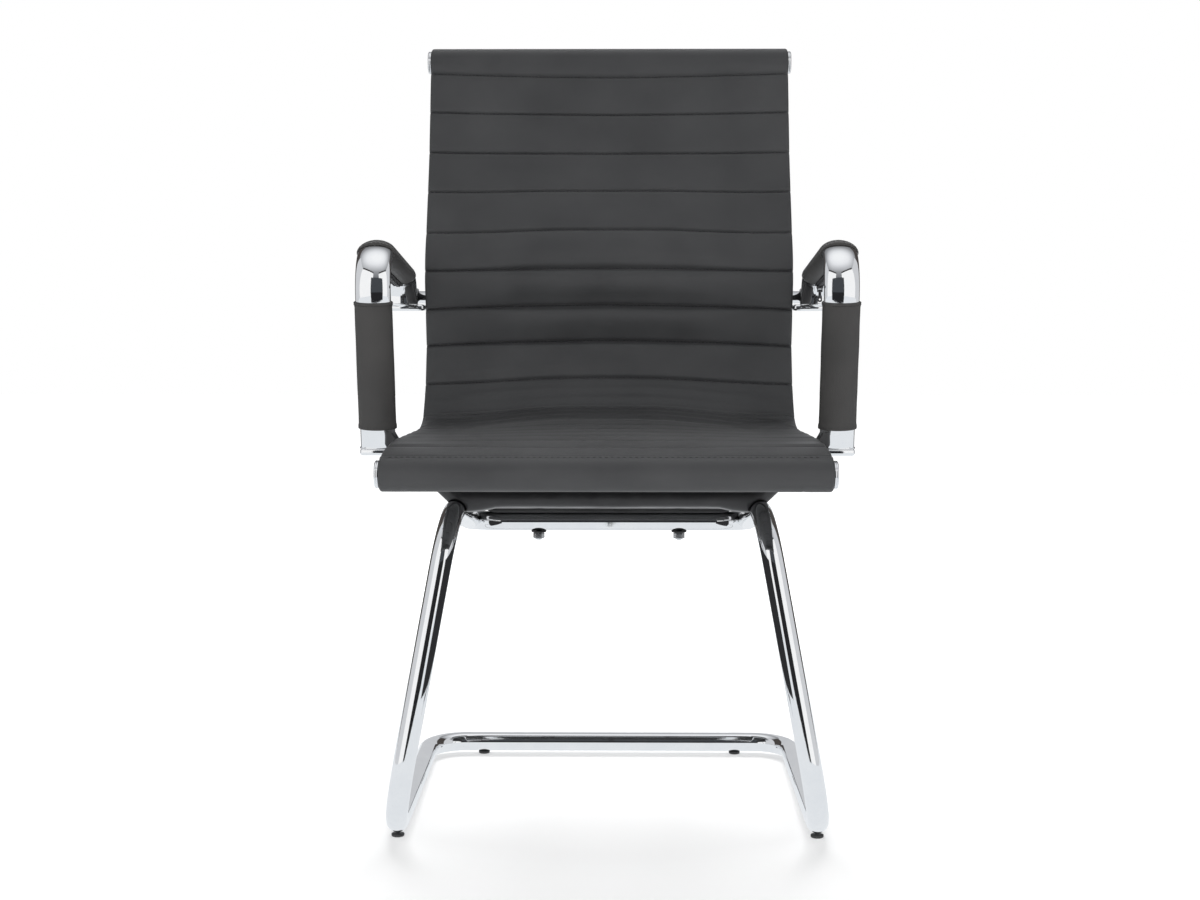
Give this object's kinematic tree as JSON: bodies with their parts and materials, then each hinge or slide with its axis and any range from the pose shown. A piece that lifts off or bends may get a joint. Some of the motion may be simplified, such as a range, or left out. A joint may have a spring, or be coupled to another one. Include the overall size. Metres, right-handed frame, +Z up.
{
  "type": "sled base visitor chair",
  "caption": "Visitor chair with a ribbed black sling for seat and back, looped chrome arms with padded tops, and a bent-tube chrome cantilever sled base.",
  "frame": {"origin": "on the floor, at the middle of the chair's footprint", "axes": "+Z up, -Y to the front, where a sitter's knees are, +X to the right for someone who faces the front of the chair; nodes named left are on the -X side, nodes named right on the +X side"},
  "size_m": [0.568, 0.6194, 0.9479],
  "materials": {
    "sling_leather": "satin black artificial leather, fine grain, sewn in channels",
    "arm_leather": "satin black artificial leather, fine grain",
    "chrome": "polished chrome plate",
    "black_steel": "satin black powder coat",
    "black_plastic": "matt black moulded plastic",
    "steel": "zinc-plated steel",
    "zip_metal": "dark nickel-plated metal with worn bright edges",
    "zip_tape": "black woven tape"
  },
  "bodies": {
    "chair": {"sled_frame": "chrome", "back_stretcher": "chrome", "arm_tube_left": "chrome", "arm_tube_right": "chrome", "front_end_cap_left": "chrome", "front_end_cap_right": "chrome", "top_end_cap_left": "chrome", "top_end_cap_right": "chrome", "sling_cover": "sling_leather", "arm_cover_left": "arm_leather", "arm_cover_right": "arm_leather", "post_sleeve_left": "arm_leather", "post_sleeve_right": "arm_leather", "seat_bracket_front": "black_steel", "seat_bracket_rear": "black_steel", "side_rail_left": "black_steel", "side_rail_right": "black_steel", "front_cross_tube": "black_steel", "top_cross_tube": "black_steel", "arm_bracket_front_left": "black_plastic", "arm_bracket_front_right": "black_plastic", "arm_bracket_rear_left": "black_plastic", "arm_bracket_rear_right": "black_plastic", "foot_pad_front_left": "black_plastic", "foot_pad_front_right": "black_plastic", "foot_pad_rear_left": "black_plastic", "foot_pad_rear_right": "black_plastic", "frame_washer_front_left": "black_plastic", "frame_washer_front_right": "black_plastic", "frame_washer_rear_left": "black_plastic", "frame_washer_rear_right": "black_plastic", "frame_bolt_front_left": "steel", "frame_bolt_front_right": "steel", "frame_bolt_rear_left": "steel", "frame_bolt_rear_right": "steel", "frame_nut_front_left": "steel", "frame_nut_front_right": "steel", "frame_nut_rear_left": "steel", "frame_nut_rear_right": "steel", "bracket_screw_front_left": "steel", "bracket_screw_front_right": "steel", "bracket_screw_rear_left": "steel", "bracket_screw_rear_right": "steel", "arm_screw_front_left": "steel", "arm_screw_front_right": "steel", "arm_screw_rear_left": "steel", "arm_screw_rear_right": "steel", "arm_zip_left": "zip_tape", "arm_zip_right": "zip_tape"},
    "left_slider": {"zip_slider_left": "zip_metal"},
    "left_pull": {"zip_pull_left": "zip_metal"},
    "right_slider": {"zip_slider_right": "zip_metal"},
    "right_pull": {"zip_pull_right": "zip_metal"}
  },
  "joints": [
    {"name": "left_zip", "type": "slide", "parent": "chair", "child": "left_slider", "axis": [-0.0206, 0.9953, -0.0941], "range_m": [0, 0.193]},
    {"name": "left_zip_pull", "type": "hinge", "parent": "left_slider", "child": "left_pull", "pos_m": [-0.25802, -0.07843, 0.64818], "axis": [1, 0, 0], "range_deg": [-85, 85]},
    {"name": "right_zip", "type": "slide", "parent": "chair", "child": "right_slider", "axis": [-0.0206, -0.9953, 0.0941], "range_m": [0, 0.193]},
    {"name": "right_zip_pull", "type": "hinge", "parent": "right_slider", "child": "right_pull", "pos_m": [0.26201, 0.11435, 0.62996], "axis": [1, 0, 0], "range_deg": [-85, 85]}
  ]
}
